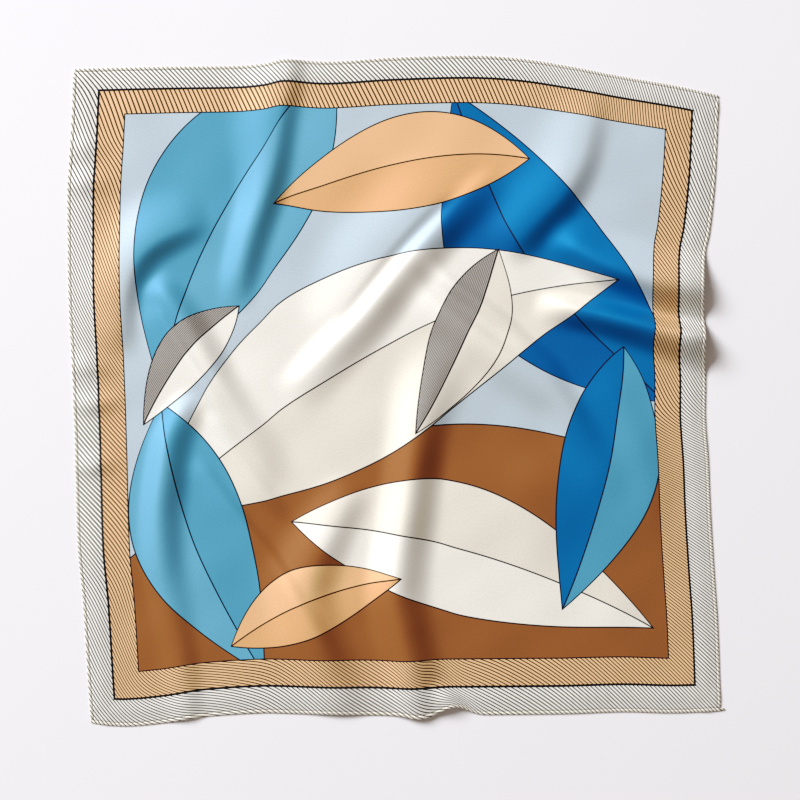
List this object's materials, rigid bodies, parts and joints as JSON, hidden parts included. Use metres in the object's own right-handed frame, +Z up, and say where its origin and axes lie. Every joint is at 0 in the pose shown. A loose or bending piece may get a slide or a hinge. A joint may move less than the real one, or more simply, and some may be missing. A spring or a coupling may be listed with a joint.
{
  "type": "silk square scarf",
  "caption": "Square silk scarf laid face up on a flat surface, with soft folds, a narrow rolled hem on each edge and a double striped border round a printed field.",
  "frame": {"origin": "middle of the scarf's box as it lies, on the surface that it rests on", "axes": "+X to the scarf's right edge, +Y to its top edge, +Z up out of its printed face"},
  "size_m": [0.6438, 0.657, 0.0225],
  "materials": {
    "printed_silk": "satin, printed silk twill",
    "hem_silk": "satin, hand rolled silk hem"
  },
  "bodies": {
    "root": {"silk_panel": "printed_silk", "hem_top": "hem_silk", "hem_right": "hem_silk", "hem_bottom": "hem_silk", "hem_left": "hem_silk"}
  },
  "joints": []
}
